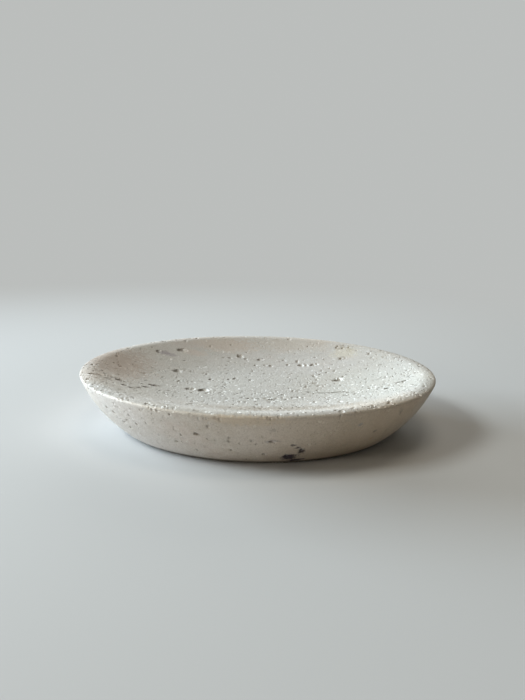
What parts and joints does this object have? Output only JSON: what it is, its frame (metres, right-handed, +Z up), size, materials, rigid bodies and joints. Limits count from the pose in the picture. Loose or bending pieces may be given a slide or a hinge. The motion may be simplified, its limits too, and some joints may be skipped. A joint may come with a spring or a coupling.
{
  "type": "soap dish",
  "caption": "Low round stone soap dish: a shallow smooth basin inside a softly rounded lip, with a side that curves in to a smaller flat foot.",
  "frame": {"origin": "centre of the flat resting face, which is the bottom centre of the whole dish", "axes": "+Z up along the dish's axis; the dish is round, so +X and +Y are free, with +Y pointing away from the viewer of the picture"},
  "size_m": [0.12, 0.12, 0.019],
  "materials": {
    "stone": "matte"
  },
  "bodies": {
    "root": {"dish": "stone"}
  },
  "joints": []
}
